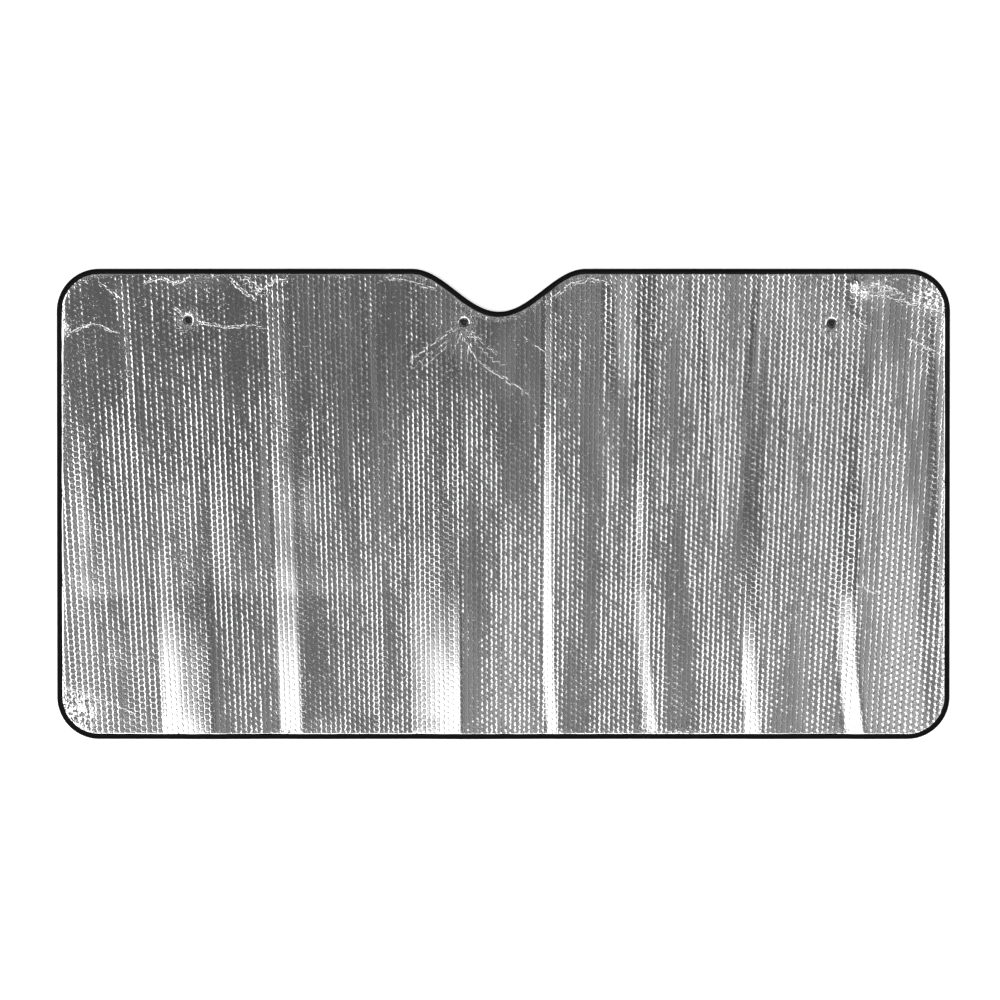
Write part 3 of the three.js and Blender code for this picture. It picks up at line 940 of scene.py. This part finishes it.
# Studio: a light table, a dark ceiling, a pale screen at the near left, and a room with pale patches
studio = {
    "pixelsWide": 1000,
    "sheetPixels": 892,
    "centrePixel": (503.4, 504.0),
    "cameraHeight": 8.0,
    "sensorWidth": 36,
    "tableColour": "#F4F4F4",
    "tableReach": 30,
    "tableGlow": 0.55,
    "boxes": {"Left_box": ((-3.2, 0.2, 2.6), 60), "Right_box": ((3.2, 0.0, 2.6), 45)},
    "boxSize": (1.6, 4.2),
    "ceilingDark": 0.08,
    "ceilingPale": 0.42,
    "roomPatches": 5.5,  # the scale of the patches
    "screenSlant": -0.6,  # how the screen's near edge slants
    "sideStart": -0.2,  # where its right side turns outwards
    "sideSlant": 2.5,
    # soft bands in the light that comes from each direction: what each of them follows, from
    # where to where it changes, and its level before and after
    "bands": {
        "paleStart": ("lean", 0.02, 0.14, 0.0, 1.0),
        "paleEnd": ("lean", 0.26, 0.36, 1.0, 0.2),
        "ceilingNear": ("leanY", -0.1, 0.01, 0.15, 0.0),
        "room": ("patches", 0.44, 0.56, 0.05, 0.7),
        "horizon": ("height", 0.5, 0.85, 1.0, 0.0),
        "screenStart": ("towards", 0.17, 0.22, 0.0, 1.0),
        "screenRight": ("beside", -0.08, -0.03, 1.0, 0.0),
        "screenLeft": ("leanX", -0.8, -0.6, 0.0, 1.0),
        "screenEnd": ("leanY", -0.9, -0.7, 0.0, 1.0),
        "screenLevel": ("towards", 0.22, 0.4, 1.8, 2.6),
    },
}


def makeTable():
    half = studio["tableReach"]
    corners = [(-half, -half, 0), (half, -half, 0), (half, half, 0), (-half, half, 0)]
    # the diffusing sheet of a light table: matt white, without a reflection of the sunshade
    material, tree, shader = newMaterial("Matt_white_light_table", studio["tableColour"],
                                         Roughness=0.9, Emission_Color=(1, 1, 1, 1))
    # it glows towards the camera, so it goes white without lighting the sheet from below
    seen = addNode(tree, "LightPath")["Is Camera Ray"]
    glow = addNode(tree, "Math", [seen, studio["tableGlow"]], operation="MULTIPLY")[0]
    tree.links.new(glow, shader.inputs["Emission Strength"])
    meshObject("light_table", corners, [(0, 1, 2, 3)], material, smooth=False)


def softBox(name, place, width, height, power):
    data = bpy.data.lights.new(name, "AREA")
    data.shape = "RECTANGLE"
    data.size = width
    data.size_y = height
    data.energy = power
    lamp = bpy.data.objects.new(name, data)
    lamp.location = place
    lamp.rotation_euler = (-Vector(place)).to_track_quat("-Z", "Y").to_euler()
    lamp.visible_camera = False
    bpy.context.scene.collection.objects.link(lamp)


def makeWorld():
    world = bpy.data.worlds.new("Studio")
    bpy.context.scene.world = world
    world.use_nodes = True
    tree = world.node_tree
    tree.nodes.clear()
    out = tree.nodes.new("ShaderNodeOutputWorld")
    way = addNode(tree, "TexCoord")["Generated"]
    wayX, wayY, wayZ = addNode(tree, "SeparateXYZ", [way])
    up = addNode(tree, "Math", [wayZ, 0.05], operation="MAXIMUM")[0]
    leanX = addNode(tree, "Math", [wayX, up], operation="DIVIDE")[0]
    leanY = addNode(tree, "Math", [wayY, up], operation="DIVIDE")[0]
    lean = addNode(tree, "Math", [leanX, leanY], operation="ADD")[0]
    # the room round about: dark and pale patches, for the foil to mirror when seen from the side
    patches = addNode(tree, "TexNoise", {"Vector": way, "Scale": studio["roomPatches"],
                                         "Detail": 3.0})["Fac"]
    # the near left screen starts on a slanting line
    slanted = addNode(tree, "Math", [leanX, studio["screenSlant"]], operation="MULTIPLY")[0]
    towards = addNode(tree, "Math", [slanted, leanY], operation="SUBTRACT")[0]
    nearer = addNode(tree, "Math", [studio["sideStart"], leanY], operation="SUBTRACT")[0]
    turned = addNode(tree, "Math", [nearer, 0.0], operation="MAXIMUM")[0]
    outwards = addNode(tree, "Math", [turned, studio["sideSlant"]], operation="MULTIPLY")[0]
    beside = addNode(tree, "Math", [leanX, outwards], operation="SUBTRACT")[0]
    followed = {"leanX": leanX, "leanY": leanY, "lean": lean, "height": wayZ, "patches": patches,
                "towards": towards, "beside": beside}
    bands = {}
    for name, (what, *levels) in studio["bands"].items():
        bands[name] = addNode(tree, "MapRange", [followed[what], *levels],
                              interpolation_type="SMOOTHSTEP")[0]
    paler = addNode(tree, "Math", [bands["paleStart"], bands["paleEnd"]], operation="MULTIPLY")[0]
    dark, pale = studio["ceilingDark"], studio["ceilingPale"]
    ceiling = addNode(tree, "Math", [paler, pale - dark, dark], operation="MULTIPLY_ADD")[0]
    ceiling = addNode(tree, "Math", [ceiling, bands["ceilingNear"]], operation="ADD")[0]
    room = addNode(tree, "Math", [bands["horizon"], bands["room"]], operation="MULTIPLY")[0]
    screen = bands["screenStart"]
    for name in ("screenRight", "screenLeft", "screenEnd", "screenLevel"):
        screen = addNode(tree, "Math", [screen, bands[name]], operation="MULTIPLY")[0]
    level = ceiling
    for part in (room, screen):
        level = addNode(tree, "Math", [level, part], operation="ADD")[0]
    walls = addNode(tree, "Emission", {"Color": level, "Strength": 1.0})[0]
    white = addNode(tree, "Emission", {"Color": (1, 1, 1, 1), "Strength": 1.0})[0]
    seen = addNode(tree, "LightPath")["Is Camera Ray"]
    both = addNode(tree, "MixShader", [seen, walls, white])[0]
    tree.links.new(both, out.inputs["Surface"])


def makeCamera():
    # straight above the sheet, framed as the photograph frames it
    metresPerPixel = sheet["length"] * mm / studio["sheetPixels"]
    half = studio["pixelsWide"] / 2
    centreX, centreY = studio["centrePixel"]
    data = bpy.data.cameras.new("Camera")
    data.sensor_width = studio["sensorWidth"]
    frameWidth = studio["pixelsWide"] * metresPerPixel
    data.lens = studio["sensorWidth"] * studio["cameraHeight"] / frameWidth
    data.clip_end = 100
    camera = bpy.data.objects.new("Camera", data)
    camera.location = ((half - centreX) * metresPerPixel, (centreY - half) * metresPerPixel,
                       studio["cameraHeight"])
    bpy.context.scene.collection.objects.link(camera)
    bpy.context.scene.camera = camera


makeTable()
for name, (place, power) in studio["boxes"].items():
    softBox(name, place, *studio["boxSize"], power)
makeWorld()
makeCamera()
bpy.context.scene.view_settings.view_transform = "Standard"
print("studio done")
